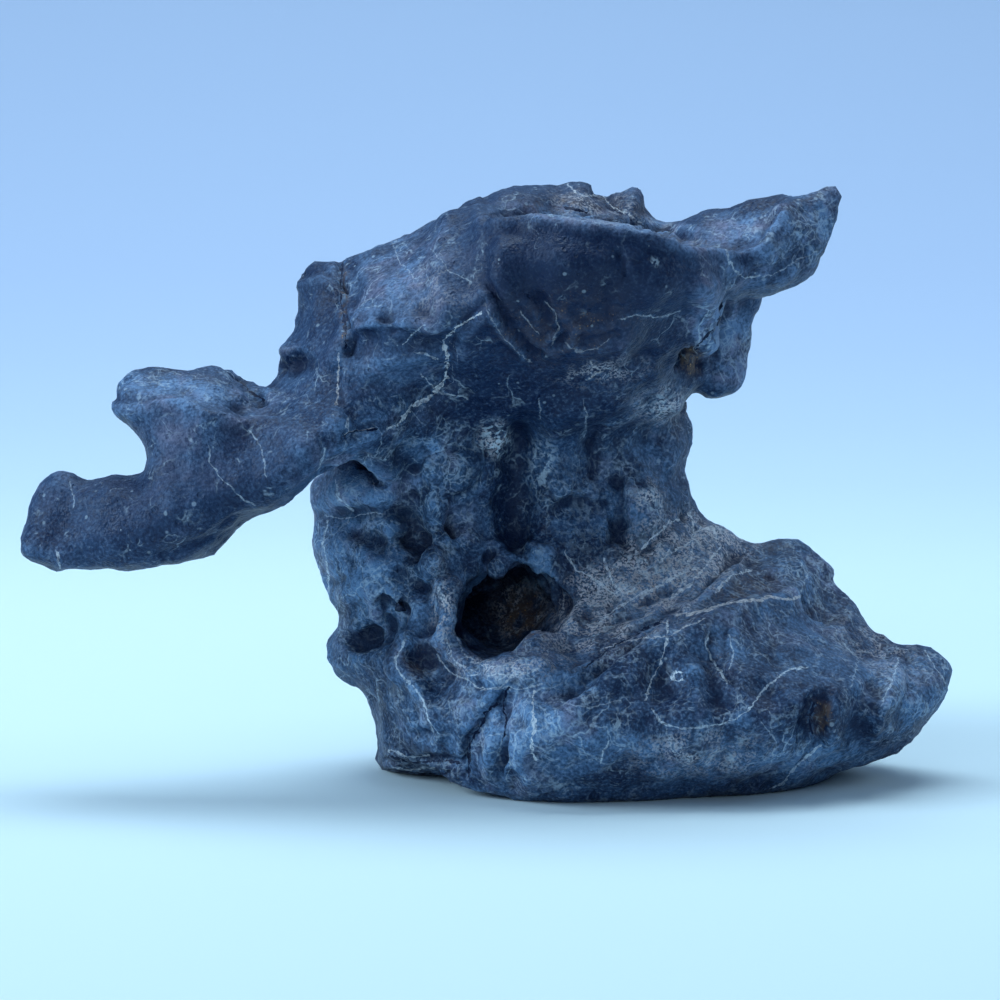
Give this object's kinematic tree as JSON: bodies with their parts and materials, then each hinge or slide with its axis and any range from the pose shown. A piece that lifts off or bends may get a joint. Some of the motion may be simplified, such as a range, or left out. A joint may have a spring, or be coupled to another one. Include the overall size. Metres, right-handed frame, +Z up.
{
  "type": "scholars rock",
  "caption": "Dark water-carved ornamental stone standing on its own foot, with a cave through a narrow neck under an overhanging winged crown.",
  "frame": {"origin": "on the ground plane, under the middle of the overall box", "axes": "+X towards the foot and horn, away from the wing; +Y from the viewing face to the back; +Z up"},
  "size_m": [0.135, 0.1, 0.087],
  "materials": {
    "stone": "waxy satin limestone, dark blue-grey with pale veins and rusty pits"
  },
  "bodies": {
    "root": {"scholars_rock": "stone"}
  },
  "joints": []
}
